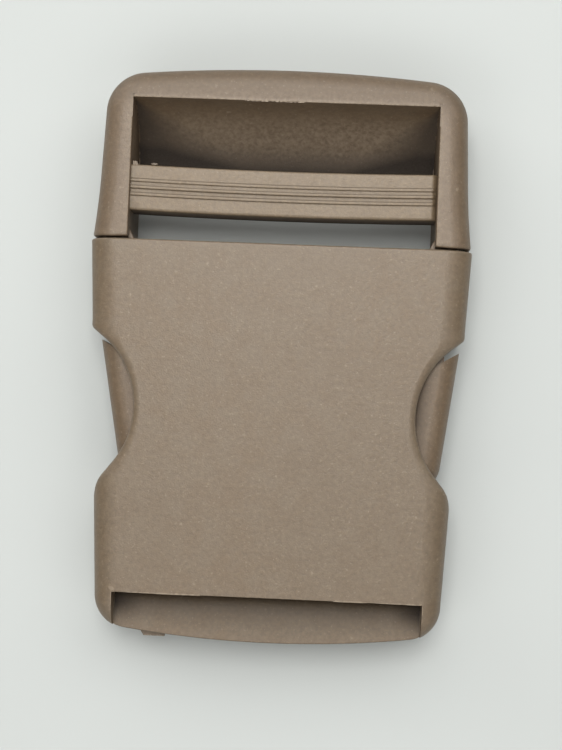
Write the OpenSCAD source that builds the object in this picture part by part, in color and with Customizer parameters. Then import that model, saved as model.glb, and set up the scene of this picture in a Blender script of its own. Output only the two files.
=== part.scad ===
// Side release buckle for flat webbing, fastened and lying on its back.
// X runs across the webbing, +Y points from the socket half to the plug half, +Z out of the front face.
// The origin is under the middle of the buckle, on the surface that it lies on.

/* [Webbing] */
// Width of the webbing that both ends take
web_w = 50; // [38:1:60]
// Room beside the webbing at each end of a slot
web_play = 0.8; // [0.4:0.1:1.5]

/* [Body] */
// Thickness from the back face to the front face
body_t = 14; // [13:0.5:17]
// Thickness of the front and the back panel of the socket
panel_t = 2; // [1.6:0.1:2.4]
// Radius of the outer edges on the front
front_r = 3.6; // [2.6:0.1:4.2]
// Radius of the outer edges on the back
back_r = 2.4; // [1.6:0.1:3]
// Clearance where one half slides in the other
slide_gap = 0.3; // [0.2:0.05:0.4]
// Gap between the shoulders of the plug and the mouth of the socket
mouth_gap = 0.45; // [0.2:0.05:0.6]

/* [Socket half] */
// Length of the socket from its mouth to the middle of its rim
socket_len = 67; // [62:0.2:80]
// Width of the cheek beside the webbing slot, at the rim
cheek_w = 2.85; // [2.6:0.05:6]
// Angle at which each side widens towards the mouth
side_taper = 3.05; // [1.5:0.05:3.5]
// Thickness of the side walls
side_wall = 1.7; // [1.4:0.05:1.8]
// Radius of the bow of the rim
rim_bow_r = 180; // [130:5:400]
// Radius of the corners beside the rim
rim_corner_r = 5.8; // [4.8:0.1:7]
// Length of the webbing slot from the rim to the front panel
web_slot_l = 7.95; // [7.6:0.05:9.4]
// Width of the webbing bar at the rim
rim_bar_w = 9.5; // [8.5:0.1:11]
// Height of the front of the webbing bar above the back face
rim_bar_top = 10; // [9:0.1:10.5]
// Height of the back of the webbing bar above the back face
rim_bar_lift = 1.5; // [0.8:0.1:2.5]
// Radius of the inner front edge of the webbing bar
rim_bar_r = 5; // [3:0.1:6]
// Passage for the webbing between its bar and the cross wall
web_passage = 4.8; // [4.4:0.1:7]
// Thickness of the cross wall that closes the socket
cross_wall = 2.2; // [1.6:0.1:3]
// Thickness of the two rails that guide the tongue
rail_t = 1.6; // [1.2:0.1:2.4]

/* [Finger scallops] */
// Distance of the middle of a scallop from the mouth
scallop_set = 28.3; // [26:0.1:30]
// Radius of a scallop
scallop_r = 14.8; // [13.5:0.1:16]
// Depth of a scallop in the side of the socket
scallop_depth = 7.15; // [6.4:0.05:7.6]
// Radius of the rounded edge around a scallop
scallop_edge_r = 1.1; // [0.4:0.1:1.5]
// Angle on the scallop where its upper flank starts
upper_flank = 52; // [46:1:58]
// Angle on the scallop where its lower flank starts
lower_flank = 39; // [34:1:44]
// Radius of the corner between the upper flank and the side
upper_corner_r = 1.2; // [0.8:0.1:2]
// Radius of the shoulder between the lower flank and the side
shoulder_r = 6; // [4:0.1:8]

/* [Plug frame] */
// Width of the arms of the frame at its head
frame_arm_w = 4.6; // [4.2:0.1:7]
// Angle at which each side of the frame widens towards the mouth
frame_taper = 2.2; // [1:0.05:3]
// Radius of the bow of the head
head_bow_r = 260; // [200:5:500]
// Radius of the corners of the head
head_corner_r = 5.8; // [4.8:0.1:7]
// Width of the head bar on the front
head_bar_w = 6; // [5.6:0.1:9]
// Gap for the webbing between the head bar and the grip bar
web_gap_l = 11.4; // [10:0.1:12]
// Gap for the webbing between the grip bar and the mouth
near_gap_l = 4.9; // [4.3:0.05:7]
// Distance that the lip of the head bar keeps from the grip bar
lip_set = 0.6; // [0.2:0.1:2]
// Radius of the back edge of the lip
lip_r = 1.2; // [0.5:0.1:1.8]

/* [Grip bar] */
// Width of the grip bar
grip_bar_w = 7.6; // [7:0.1:10]
// Height of the grip bar from back to front
grip_bar_h = 5.8; // [5:0.1:7]
// Depth of the front of the grip bar under the front face
grip_bar_set = 1.4; // [0.5:0.1:2.5]
// Height of the upright part of the grip bar's rear side
grip_rear_h = 3.4; // [2:0.1:4.5]
// Run of the slope under the grip bar
grip_slope_l = 3.4; // [2:0.1:5]
// Number of ridges that hold the webbing
ridge_count = 3; // [1:1:5]
// Spacing of the ridges
ridge_pitch = 1.27; // [0.8:0.01:1.4]
// Width of a ridge
ridge_w = 0.4; // [0.2:0.05:0.6]
// Height of a ridge
ridge_h = 0.3; // [0.1:0.05:0.5]

/* [Plug base] */
// Depth of the base of the plug in the mouth of the socket
base_set = 0.8; // [0.2:0.1:2]
// Length of the base of the plug
base_l = 9; // [7:0.1:11]
// Length of a gusset along the arm
gusset_l = 2.2; // [1:0.1:3]
// Width of a gusset across the arm
gusset_w = 1.3; // [0.8:0.1:2]
// Width of the tongue in the middle
tongue_w = 8; // [6:0.1:12]
// Length of the tongue from the base
tongue_l = 34; // [26:0.5:36]
// Length of the tapered end of the tongue
tongue_taper_l = 3; // [1:0.1:5]

/* [Latch arms] */
// Width of the springy part of a latch arm
spring_w = 3.6; // [2.5:0.1:4.5]
// Distance from the springy part to the socket's side wall at the base
spring_set = 1.8; // [1.5:0.1:3]
// Distance of the catch from the mouth
catch_set = 16.9; // [16.6:0.1:17.6]
// Distance that the wing stays inside the side of the socket at the catch
wing_set = 0.9; // [0.8:0.05:1.6]
// Angle of the catch across the buckle
catch_angle = 29; // [20:1:38]
// Length of the wing from the catch to its tip
wing_l = 24; // [21:0.1:25]
// Width of the wing
wing_w = 8; // [7:0.1:9]
// Angle at which the wing leans in towards its tip
wing_angle = 9; // [8:0.1:11]
// Radius of the outer edges of the wing
wing_r = 3; // [1:0.1:3.8]
// Distance that both latch arms rest to the right within their play
wing_rest = 0.4; // [0:0.05:0.5]
// Angle that both latch arms rest to the right within their play
wing_rest_turn = 1.5; // [0:0.1:1.6]

/* [Moulding marks] */
// Width of the gate mark on the rim
gate_w = 4; // [2:0.1:6]
// Distance of the gate mark from the middle
gate_x = 19; // [5:0.5:22]
// Distance that the gate mark stands out
gate_proud = 0.6; // [0.2:0.1:0.8]
// Thickness of the gate mark
gate_t = 1; // [0.5:0.1:2]

/* [Hidden] */
// Tan of the moulded plastic.
tan_plastic = [0.62, 0.55, 0.47];
// Segments of a full turn on small and on large arcs.
fine_fn = 64;
wide_fn = 240;
// Overshoot of a cut, and depth to which one part is sunk in its neighbour to make one solid.
cut = 1;
sink = 0.5;
// Distance that a corner's round stands proud of the faces beside it, so that it crosses them cleanly.
proud = 0.06;

// Places along Y.
plug_l = head_bar_w + web_gap_l + grip_bar_w + near_gap_l;
overall_l = socket_len + plug_l;
rim_y = -overall_l / 2;
head_y = overall_l / 2;
mouth_y = rim_y + socket_len;
slot_edge_y = rim_y + web_slot_l;
cross_y = rim_y + rim_bar_w + web_passage;
cavity_end_y = cross_y + cross_wall;
window_y = head_y - head_bar_w;
grip_rear_y = window_y - web_gap_l;
grip_front_y = grip_rear_y - grip_bar_w;
base_top_y = mouth_y - base_set;
base_end_y = base_top_y - base_l;
arm_end_y = mouth_y + mouth_gap;

// Places along X.
slot_half = web_w / 2 + web_play;
rim_half = slot_half + cheek_w;
frame_half = slot_half + frame_arm_w;
function side_x(y) = rim_half + (y - rim_y) * tan(side_taper);
function cavity_x(y) = side_x(y) - side_wall / cos(side_taper);
function plug_x(y) = cavity_x(y) - slide_gap;

// Heights of what slides inside the socket.
slide_z = panel_t + slide_gap;
slide_h = body_t - 2 * slide_z;

// Outward normal of the right side of the socket, and its direction towards the rim.
side_out = [cos(side_taper), -sin(side_taper)];
side_down = [-sin(side_taper), -cos(side_taper)];

// Outward normal of the right side of the frame, and its direction towards the head.
frame_out = [cos(frame_taper), sin(frame_taper)];
frame_up = [-sin(frame_taper), cos(frame_taper)];

// Middle of the right scallop.
scallop_y = mouth_y - scallop_set;
scallop_x = side_x(scallop_y) - scallop_depth + scallop_r;

// Catch corner of the right wing.
catch_y = mouth_y - catch_set;
catch_x = side_x(catch_y) - wing_set;

// Middle of a corner of radius r between a side and a bow.
// The side passes p along dir with the outward normal out_dir, and the bow has the radius bow_r about mid.
function bow_corner(mid, bow_r, p, out_dir, dir, r) =
    let (inset = r - proud, start = p - inset * out_dir - mid, along = start * dir)
        mid + start + dir * (sqrt(pow(along, 2) - start * start + pow(bow_r - inset, 2)) - along);

// Middles of the bows, and of the right corners beside them.
rim_mid = [0, rim_y + rim_bow_r];
head_mid = [0, head_y - head_bow_r];
rim_corner = bow_corner(rim_mid, rim_bow_r, [rim_half, rim_y], side_out, side_down, rim_corner_r);
head_corner = bow_corner(head_mid, head_bow_r, [frame_half, head_y], frame_out, frame_up, head_corner_r);

function unit(v) = v / norm(v);
function bow_y(x) = rim_y + rim_bow_r - sqrt(pow(rim_bow_r, 2) - pow(x, 2));

// What lies outside a quarter circle of radius r in the corner of a square.
module corner_waste(r) {
    difference() {
        square(r + cut);
        circle(r, $fn = fine_fn);
    }
}

// Section of width w and height h, with its right corners rounded to rf at the front and rb at the back.
module edge_section(w, h, rf, rb) {
    difference() {
        square([w, h]);
        translate([w - rf, h - rf]) corner_waste(rf);
        translate([w - rb, rb]) mirror([0, 1]) corner_waste(rb);
    }
}

// Runs a section along X, with the section's own X along Y.
module along_x(half) {
    translate([-half, 0, 0]) rotate([90, 0, 90]) linear_extrude(2 * half) children();
}

// Disc of radius r and of the body's thickness, with rounded edges.
module disc(r, fn) {
    rotate_extrude($fn = fn) edge_section(r, body_t, front_r, back_r);
}

// Cutter for a hollow arc of radius r, flared at both faces so that it leaves rounded edges.
module spool(r, rf, rb, fn) {
    rotate_extrude($fn = fn) {
        translate([0, -cut]) square([r, body_t + 2 * cut]);
        difference() {
            translate([0, body_t - rf]) square([r + rf, rf + cut]);
            translate([r + rf, body_t - rf]) circle(rf, $fn = fine_fn);
        }
        difference() {
            translate([0, -cut]) square([r + rb, rb + cut]);
            translate([r + rb, rb]) circle(rb, $fn = fine_fn);
        }
    }
}

// Wedge with its tip at mid, between the directions a and b, through the whole thickness.
module wedge(mid, reach, a, b) {
    translate([0, 0, -cut])
        linear_extrude(body_t + 2 * cut)
            polygon([mid, mid + reach * a, mid + 1.5 * reach * unit(a + b), mid + reach * b]);
}

// Waste outside a rounded corner of radius r about mid, between the outward directions a and b.
module round_corner(mid, r, a, b) {
    difference() {
        wedge(mid, 3 * r, a, b);
        translate([mid[0], mid[1], 0]) disc(r, fine_fn);
    }
}

// Repeats a part on the left as its mirror image.
module both_sides() {
    children();
    mirror([1, 0, 0]) children();
}

// One side that passes X = half at Y = y and leans inwards by lean, solid far past the other side.
module tapered_side(half, y, lean) {
    depth = 3 * half;
    translate([half, y, 0])
        rotate([0, 0, -lean])
            translate([-depth, 2 * socket_len, 0])
                rotate([90, 0, 0]) linear_extrude(4 * socket_len) edge_section(depth, body_t, front_r, back_r);
}

// Outer form of the socket before its corners are rounded.
module socket_blank() {
    intersection() {
        tapered_side(rim_half, rim_y, side_taper);
        mirror([1, 0, 0]) tapered_side(rim_half, rim_y, side_taper);
        translate([-2 * rim_half, rim_y - cut, -cut])
            cube([4 * rim_half, socket_len + cut, body_t + 2 * cut]);
    }
}

// Space that takes the plug.
module socket_cavity() {
    end = mouth_y + cut;
    translate([0, 0, panel_t])
        linear_extrude(body_t - 2 * panel_t)
            polygon([
                [-cavity_x(cavity_end_y), cavity_end_y],
                [cavity_x(cavity_end_y), cavity_end_y],
                [cavity_x(end), end],
                [-cavity_x(end), end]
            ]);
}

// Space for the webbing at the rim, open to the back under the front panel and to the front before it.
module web_slot() {
    low_y = rim_y - cut;
    translate([-slot_half, low_y, -cut]) cube([2 * slot_half, cross_y - low_y, body_t - panel_t + cut]);
    translate([-slot_half, low_y, -cut]) cube([2 * slot_half, slot_edge_y - low_y, body_t + 2 * cut]);
}

// Bar that the webbing of the socket is looped around.
module rim_bar() {
    h = rim_bar_top - rim_bar_lift;
    translate([0, rim_y, rim_bar_lift])
        along_x(slot_half + sink) edge_section(rim_bar_w, h, rim_bar_r, lip_r);
}

// Rails on both sides of the tongue.
module guide_rails() {
    low_y = cavity_end_y - sink;
    high_y = base_end_y - cut;
    both_sides()
        translate([tongue_w / 2 + slide_gap, low_y, panel_t - sink])
            cube([rail_t, high_y - low_y, body_t - 2 * panel_t + 2 * sink]);
}

// Small plate that is left on the rim where the plastic was fed in.
module gate_mark() {
    x0 = -gate_x - gate_w / 2;
    translate([x0, bow_y(gate_x) - gate_proud, rim_bar_top - 3 * gate_t])
        cube([gate_w, gate_proud + cut, gate_t]);
}

// Rounds the end of a flank of the right scallop into the side of the socket with radius r.
// The flank starts at start and runs along run_dir, and out_dir points from it into the plastic.
module flank_corner(start, out_dir, run_dir, r) {
    flank_line = start + (r - proud) * out_dir;
    side_line = [rim_half, rim_y] - (r - proud) * side_out;
    run = ((side_line - flank_line) * side_out) / (run_dir * side_out);
    mid = flank_line + run * run_dir;
    difference() {
        wedge(mid, 2 * r, -out_dir, side_out);
        translate([mid[0], mid[1], -2 * cut]) cylinder(r = r, h = body_t + 4 * cut, $fn = wide_fn);
    }
}

// Right scallop: a round hollow with an upper and a lower flank, each rounded into the side.
module scallop() {
    mid = [scallop_x, scallop_y];
    reach = 2 * scallop_r;
    upper_out = [-cos(upper_flank), sin(upper_flank)];
    upper_run = [sin(upper_flank), cos(upper_flank)];
    lower_out = [-cos(lower_flank), -sin(lower_flank)];
    lower_run = [sin(lower_flank), -cos(lower_flank)];
    upper_start = mid + scallop_r * upper_out;
    lower_start = mid + scallop_r * lower_out;
    translate([mid[0], mid[1], 0]) spool(scallop_r, scallop_edge_r, scallop_edge_r, wide_fn);
    translate([0, 0, -cut])
        linear_extrude(body_t + 2 * cut) {
            polygon([mid, upper_start, upper_start + reach * upper_run, mid + [reach, 0]]);
            polygon([mid, lower_start, lower_start + reach * lower_run, mid + [reach, 0]]);
        }
    flank_corner(upper_start, upper_out, upper_run, upper_corner_r);
    flank_corner(lower_start, lower_out, lower_run, shoulder_r);
}

// The half that the plug snaps into.
module socket_half() {
    color(tan_plastic) {
        difference() {
            intersection() {
                union() {
                    difference() {
                        socket_blank();
                        socket_cavity();
                        web_slot();
                    }
                    rim_bar();
                }
                translate([rim_mid[0], rim_mid[1], -cut])
                    cylinder(r = rim_bow_r, h = body_t + 2 * cut, $fn = 2 * wide_fn);
            }
            both_sides() round_corner(rim_corner, rim_corner_r, side_out, unit(rim_corner - rim_mid));
            both_sides() scallop();
        }
        guide_rails();
        gate_mark();
    }
}

// Outer form of the frame, bowed at its head and with rounded corners.
module frame_blank() {
    difference() {
        intersection() {
            translate([head_mid[0], head_mid[1], 0]) disc(head_bow_r, 2 * wide_fn);
            tapered_side(frame_half, head_y, -frame_taper);
            mirror([1, 0, 0]) tapered_side(frame_half, head_y, -frame_taper);
            translate([-2 * frame_half, arm_end_y, -cut])
                cube([4 * frame_half, head_y - arm_end_y + cut, body_t + 2 * cut]);
        }
        both_sides() round_corner(head_corner, head_corner_r, frame_out, unit(head_corner - head_mid));
    }
}

// Bar at the head, whose inner side is a quarter round that leads the webbing behind the grip bar.
module head_bar() {
    lip_y = grip_rear_y + lip_set;
    along_x(slot_half + sink)
        difference() {
            translate([lip_y, 0]) square([window_y - lip_y + sink, body_t - cut]);
            translate([grip_rear_y, body_t]) circle(web_gap_l, $fn = wide_fn);
            translate([lip_y + lip_r, lip_r]) rotate(180) corner_waste(lip_r);
        }
}

// Ribbed bar that the webbing of the plug is looped around.
module grip_bar() {
    top_z = body_t - grip_bar_set;
    back_z = top_z - grip_bar_h;
    middle_y = (grip_front_y + grip_rear_y) / 2;
    ridges = [
        for (i = [0 : ridge_count - 1])
            let (y = middle_y + (i - (ridge_count - 1) / 2) * ridge_pitch)
                for (corner = [[-1, 0], [-1, 1], [1, 1], [1, 0]])
                    [y + corner[0] * ridge_w / 2, top_z + corner[1] * ridge_h]
    ];
    along_x(slot_half + sink)
        polygon(concat(
            [[grip_rear_y - grip_slope_l, back_z], [grip_front_y, back_z], [grip_front_y, top_z]],
            ridges,
            [[grip_rear_y, top_z], [grip_rear_y, top_z - grip_rear_h]]
        ));
}

// Block that closes the frame inside the mouth of the socket, with a gusset at each arm.
module plug_base() {
    neck_y = arm_end_y + sink;
    translate([0, 0, slide_z])
        linear_extrude(slide_h) {
            polygon([
                [-plug_x(base_end_y), base_end_y],
                [plug_x(base_end_y), base_end_y],
                [plug_x(arm_end_y), arm_end_y],
                [plug_x(arm_end_y), neck_y],
                [slot_half, neck_y],
                [slot_half, base_top_y + gusset_l],
                [slot_half - gusset_w, base_top_y],
                [gusset_w - slot_half, base_top_y],
                [-slot_half, base_top_y + gusset_l],
                [-slot_half, neck_y],
                [-plug_x(arm_end_y), neck_y],
                [-plug_x(arm_end_y), arm_end_y]
            ]);
        }
}

// Straight tongue that keeps the plug in line with the socket.
module tongue() {
    end_y = base_end_y - tongue_l;
    half = tongue_w / 2;
    translate([0, 0, slide_z])
        linear_extrude(slide_h)
            polygon([
                [-half, base_end_y + sink],
                [-half, end_y + tongue_taper_l],
                [-half / 2, end_y],
                [half / 2, end_y],
                [half, end_y + tongue_taper_l],
                [half, base_end_y + sink]
            ]);
}

// Right latch arm: a springy strip, and a wing whose catch holds behind the edge of the scallop.
module latch_arm() {
    tip_r = wing_w / 2;
    straight = wing_l - tip_r;
    out_x = plug_x(base_end_y) - spring_set;
    translate([catch_x, catch_y, 0])
        rotate([0, 0, -wing_angle])
            intersection() {
                translate([0, 0, slide_z])
                    linear_extrude(slide_h) {
                        difference() {
                            translate([-wing_w, -straight]) square([wing_w, straight]);
                            rotate(catch_angle + wing_angle) translate([-2 * wing_w, 0]) square([3 * wing_w, wing_w]);
                        }
                        translate([-tip_r, -straight]) circle(tip_r, $fn = fine_fn);
                    }
                translate([-2 * wing_w, wing_w, slide_z])
                    rotate([90, 0, 0])
                        linear_extrude(wing_l + 2 * wing_w) edge_section(2 * wing_w, slide_h, wing_r, wing_r);
            }
    translate([0, 0, slide_z])
        linear_extrude(slide_h)
            polygon([
                [out_x, base_end_y + sink],
                [out_x - spring_w, base_end_y + sink],
                [out_x - spring_w, catch_y],
                [catch_x - wing_w, catch_y - wing_w],
                [out_x, catch_y - wing_w]
            ]);
}

// Puts a latch arm where it rests; side is 1 on the right and -1 on the left.
module resting_arm(side) {
    translate([wing_rest + side * catch_x, catch_y, 0])
        rotate([0, 0, wing_rest_turn])
            translate([-side * catch_x, -catch_y, 0])
                mirror([side < 0 ? 1 : 0, 0, 0]) latch_arm();
}

// The half that snaps into the socket.
module plug_half() {
    color(tan_plastic) {
        difference() {
            frame_blank();
            translate([-slot_half, arm_end_y - cut, -cut])
                cube([2 * slot_half, window_y - arm_end_y + cut, body_t + 2 * cut]);
        }
        head_bar();
        grip_bar();
        plug_base();
        tongue();
        for (side = [-1, 1]) resting_arm(side);
    }
}

socket_half();
plug_half();
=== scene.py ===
"""Looks of a fastened side release buckle of moulded plastic.

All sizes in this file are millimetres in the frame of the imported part, and they turn into metres when a
mesh is made. Each visible surface is a patch of points worked out with numpy, and the patches of a piece
are welded into one closed skin.
"""
import logging
import math
from collections.abc import Callable
from dataclasses import dataclass, field
from enum import Enum
from functools import partial

import bmesh
import bpy
import numpy as np
from mathutils import Matrix, Vector


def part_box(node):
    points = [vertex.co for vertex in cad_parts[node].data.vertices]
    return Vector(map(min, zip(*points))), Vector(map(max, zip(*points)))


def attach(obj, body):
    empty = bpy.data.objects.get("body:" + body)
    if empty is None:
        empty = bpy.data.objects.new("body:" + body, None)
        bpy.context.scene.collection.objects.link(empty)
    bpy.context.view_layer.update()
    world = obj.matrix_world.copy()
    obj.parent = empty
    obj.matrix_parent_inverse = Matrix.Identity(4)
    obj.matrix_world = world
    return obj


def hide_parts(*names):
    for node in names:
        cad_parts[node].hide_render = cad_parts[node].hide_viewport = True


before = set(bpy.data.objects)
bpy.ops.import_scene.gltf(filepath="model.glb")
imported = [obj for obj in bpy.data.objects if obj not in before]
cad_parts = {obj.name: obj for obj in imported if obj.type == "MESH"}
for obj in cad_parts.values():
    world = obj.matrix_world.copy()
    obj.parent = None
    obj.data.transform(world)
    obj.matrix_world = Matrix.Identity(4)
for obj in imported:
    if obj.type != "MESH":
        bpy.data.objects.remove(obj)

logging.basicConfig(level=logging.INFO, format="%(message)s")
log = logging.getLogger("buckle")

MM = 0.001
MIRROR = np.array([-1.0, 1.0, 1.0])

Points = tuple[tuple[float, float], ...]
Colour = tuple[float, float, float]
Socket = bpy.types.NodeSocket
Source = Socket | Colour | float


class Half(Enum):
    """The two mouldings of the buckle, by the names of their nodes."""

    SOCKET = "socket_half"
    PLUG = "plug_half"

    def box(self) -> list[list[float]]:
        """Lowest and highest corner of the moulding's node, to a thousandth of a millimetre."""
        return [[round(v / MM, 3) for v in corner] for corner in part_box(self.value)]


SOCKET_LOW, SOCKET_HIGH = Half.SOCKET.box()
PLUG_LOW, PLUG_HIGH = Half.PLUG.box()


# Finishes


class Wiring:
    """Node tree of a new material, with one method for each kind of node that the finishes use."""

    def __init__(self, name: str) -> None:
        """Makes the material and keeps its nodes, its shader and its Object coordinates.

        Args:
            name: Name of the material.
        """
        self.material = bpy.data.materials.new(name)
        self.material.use_nodes = True
        self.nodes = self.material.node_tree.nodes
        self.shader = self.nodes["Principled BSDF"]
        self.place = self.add("TexCoord", "Object", {}, {})

    def feed(self, target: Socket, source: Source) -> None:
        """Gives an input what it reads.

        Args:
            target: Input of a node.
            source: Output of another node, or a number or a colour.
        """
        if isinstance(source, Socket):
            self.material.node_tree.links.new(source, target)
        else:
            target.default_value = (*source, 1.0) if isinstance(source, tuple) else source

    def add(self, kind: str, output: str, settings: dict[str, str],
            inputs: dict[str | int, Source]) -> Socket:
        """Adds a node.

        Args:
            kind: Type of the node.
            output: Name of the output to give back.
            settings: The node's own settings.
            inputs: What each of its inputs reads.

        Returns:
            The output.
        """
        node = self.nodes.new("ShaderNode" + kind)
        for name, value in settings.items():
            setattr(node, name, value)
        for name, source in inputs.items():
            self.feed(node.inputs[name], source)
        return node.outputs[output]

    def noise(self, size: float, detail: float = 2.0, rough: float = 0.5) -> Socket:
        """Noise on Object coordinates, whose features are about size millimetres wide."""
        shape = {"Scale": 1.0 / (size * MM), "Detail": detail, "Roughness": rough}
        return self.add("TexNoise", "Fac", {}, {"Vector": self.place, **shape})

    def attribute(self, name: str) -> Socket:
        """Value of one of the skin's own attributes."""
        return self.add("Attribute", "Fac", {"attribute_name": name}, {})

    def ramp(self, source: Socket, start: tuple[float, float], end: tuple[float, float]) -> Socket:
        """Maps a value from the range start to the range end, held at both ends."""
        limits = dict(zip(("From Min", "From Max", "To Min", "To Max"), (*start, *end)))
        return self.add("MapRange", "Result", {}, {"Value": source, **limits})

    def mix(self, share: Socket, first: Source, second: Colour) -> Socket:
        """Mixes the colour first towards second by the share."""
        return self.add("Mix", "Result", {"data_type": "RGBA"}, {"Factor": share, "A": first, "B": second})

    def math(self, kind: str, first: Socket, second: Socket) -> Socket:
        """Sum or product of two values, for the kinds ADD and MULTIPLY."""
        return self.add("Math", "Value", {"operation": kind}, {0: first, 1: second})

    def scale(self, colour: Socket, level: Socket) -> Socket:
        """Multiplies a colour by a value."""
        return self.add("VectorMath", "Vector", {"operation": "SCALE"}, {0: colour, "Scale": level})

    def bump(self, layers: list[tuple[Socket, float]]) -> None:
        """Gives the shader bump in layers, each on top of the one before.

        Args:
            layers: The value that each layer reads and its height.
        """
        below: dict[str, Socket] = {}
        for source, height in layers:
            layer = {"Strength": 1.0, "Distance": height * MM, "Height": source, **below}
            below = {"Normal": self.add("Bump", "Normal", {}, layer)}
        self.feed(self.shader.inputs["Normal"], below["Normal"])


@dataclass(frozen=True)
class MouldedPlastic:
    """Matte tan plastic with fine moulded grain, slow colour drift, paler worn edges, light specks, painted
    light and shade.

    The colour is base, drifted towards cool by slow noise and by blotches, scaled up and down by grain,
    mottle and blotches, flecked with pale spots, lightened where the skin's own wear_and_light attribute is
    high (worn edges, and painted light in the head's channel), and mixed towards shade_colour where its
    painted_shade attribute is high: painted shade deep in the recesses, under edges and in creases. Painted
    shade is rougher too. The bump is fine noise for the grain over broad noise for the slight unevenness.
    """

    name: str
    base: Colour = (0.125, 0.085, 0.048)
    cool: Colour = (0.117, 0.085, 0.053)
    pale: Colour = (0.22, 0.17, 0.118)
    # Colour and extra roughness of the painted shade in recesses, under edges and in creases.
    shade_colour: Colour = (0.012, 0.007, 0.004)
    roughness: tuple[float, float] = (0.42, 0.54)
    shade_rough: float = 0.45
    shine: float = 0.9
    shine_tint: Colour = (1.0, 0.93, 0.86)
    grain_size: float = 0.26
    mottle_size: float = 0.7
    blotch_size: float = 3.2
    drift_size: float = 26.0
    fleck_size: float = 0.42
    speck_size: float = 1.4
    wide: tuple[float, float] = (0.35, 0.65)
    middle: tuple[float, float] = (0.3, 0.7)
    drift_share: float = 0.6
    grain_swing: float = 0.14
    blotch_swing: float = 0.07
    fleck_range: tuple[float, float] = (0.68, 0.74)
    fleck_share: float = 0.45
    speck_range: tuple[float, float] = (0.76, 0.8)
    speck_share: float = 0.55
    least_wear: float = 0.2
    broad_height: float = 0.05
    mottle_height: float = 0.035
    grain_height: float = 0.034

    def material(self) -> bpy.types.Material:
        """Builds the node tree.

        Returns:
            The finished material.
        """
        tree = Wiring(self.name)
        grain, mottle = tree.noise(self.grain_size, 3.0, 0.6), tree.noise(self.mottle_size, 2.0, 0.6)
        blotch, drift = tree.noise(self.blotch_size, 3.0, 0.55), tree.noise(self.drift_size, 2.0, 0.5)
        flecks, specks = tree.noise(self.fleck_size, 1.0, 0.4), tree.noise(self.speck_size, 1.0, 0.4)
        wear_and_light, painted_shade = tree.attribute("wear_and_light"), tree.attribute("painted_shade")

        colour = tree.mix(tree.ramp(drift, self.wide, (0.0, self.drift_share)), self.base, self.cool)
        colour = tree.mix(tree.ramp(blotch, self.wide, (0.0, 1.0)), colour, self.cool)
        fine, coarse = ((1 - swing, 1 + swing) for swing in (self.grain_swing, self.blotch_swing))
        grainy, mottled = tree.ramp(grain, self.middle, fine), tree.ramp(mottle, self.middle, fine)
        level = tree.math("MULTIPLY", grainy, mottled)
        level = tree.math("MULTIPLY", level, tree.ramp(blotch, self.middle, coarse))
        colour = tree.scale(colour, level)
        colour = tree.mix(tree.ramp(flecks, self.fleck_range, (0.0, self.fleck_share)), colour, self.pale)
        colour = tree.mix(tree.ramp(specks, self.speck_range, (0.0, self.speck_share)), colour, self.pale)
        # Paler by wear and by painted light, then mixed towards the painted shade colour where
        # painted_shade is high.
        worn_and_lit = tree.math("MULTIPLY", wear_and_light, tree.ramp(mottle, self.wide, (self.least_wear, 1.0)))
        colour = tree.mix(painted_shade, tree.mix(worn_and_lit, colour, self.pale), self.shade_colour)
        tree.feed(tree.shader.inputs["Base Color"], colour)

        tree.shader.inputs["Specular IOR Level"].default_value = self.shine
        tree.shader.inputs["Specular Tint"].default_value = (*self.shine_tint, 1.0)
        # Rougher where the painted shade is.
        rough = tree.math("ADD", tree.ramp(grain, self.middle, self.roughness),
                          tree.ramp(painted_shade, (0.0, 1.0), (0.0, self.shade_rough)))
        tree.feed(tree.shader.inputs["Roughness"], rough)
        tree.bump([(drift, self.broad_height), (mottle, self.mottle_height), (grain, self.grain_height)])
        return tree.material


@dataclass(frozen=True)
class PalePaper:
    """Plain pale floor, slightly cool and slightly uneven."""

    name: str = "pale paper"
    colour: Colour = (0.472, 0.493, 0.481)
    swing: float = 0.03
    roughness: float = 0.7
    cloud_size: float = 1000 / 18

    def material(self) -> bpy.types.Material:
        """Builds the node tree.

        Returns:
            The finished material.
        """
        tree = Wiring(self.name)
        dark, light = (tuple((1 + swing) * c for c in self.colour) for swing in (-self.swing, self.swing))
        tree.feed(tree.shader.inputs["Base Color"], tree.mix(tree.noise(self.cloud_size), dark, light))
        tree.shader.inputs["Roughness"].default_value = self.roughness
        return tree.material


# Curves and profiles


def turn(angle: float) -> np.ndarray:
    """Gives the unit vector at angle radians from +X."""
    return np.array([math.cos(angle), math.sin(angle)])


def arc(mid: np.ndarray, r: float, start: float, end: float, count: int) -> np.ndarray:
    """Points of a circle: mid + r (cos a, sin a), with a evenly from start to end.

    Args:
        mid: Middle of the circle.
        r: Radius.
        start: First angle in radians.
        end: Last angle in radians.
        count: Number of points.

    Returns:
        The points, count by 2.
    """
    a = np.linspace(start, end, count)
    return mid + r * np.column_stack([np.cos(a), np.sin(a)])


def smooth_curve(at: np.ndarray, knots: list[tuple[float, float]]) -> np.ndarray:
    """Smooth cubic curve through knots, where each knot's slope is the mean of the slopes beside it.

    Args:
        at: Places to read the curve at.
        knots: Pairs of place and value, by rising place.

    Returns:
        The values at the places, held at both ends.
    """
    x, v = np.array(knots, float).T
    slope = np.diff(v) / np.diff(x)
    m = np.concatenate([[0.0], (slope[1:] + slope[:-1]) / 2, [0.0]])
    at = np.clip(at, x[0], x[-1])
    i = np.clip(np.searchsorted(x, at) - 1, 0, len(x) - 2)
    w = x[i + 1] - x[i]
    t = (at - x[i]) / w
    return ((1 + 2 * t) * (1 - t) ** 2 * v[i] + t * (1 - t) ** 2 * w * m[i]
            + t * t * (3 - 2 * t) * v[i + 1] + t * t * (t - 1) * w * m[i + 1])


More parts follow.
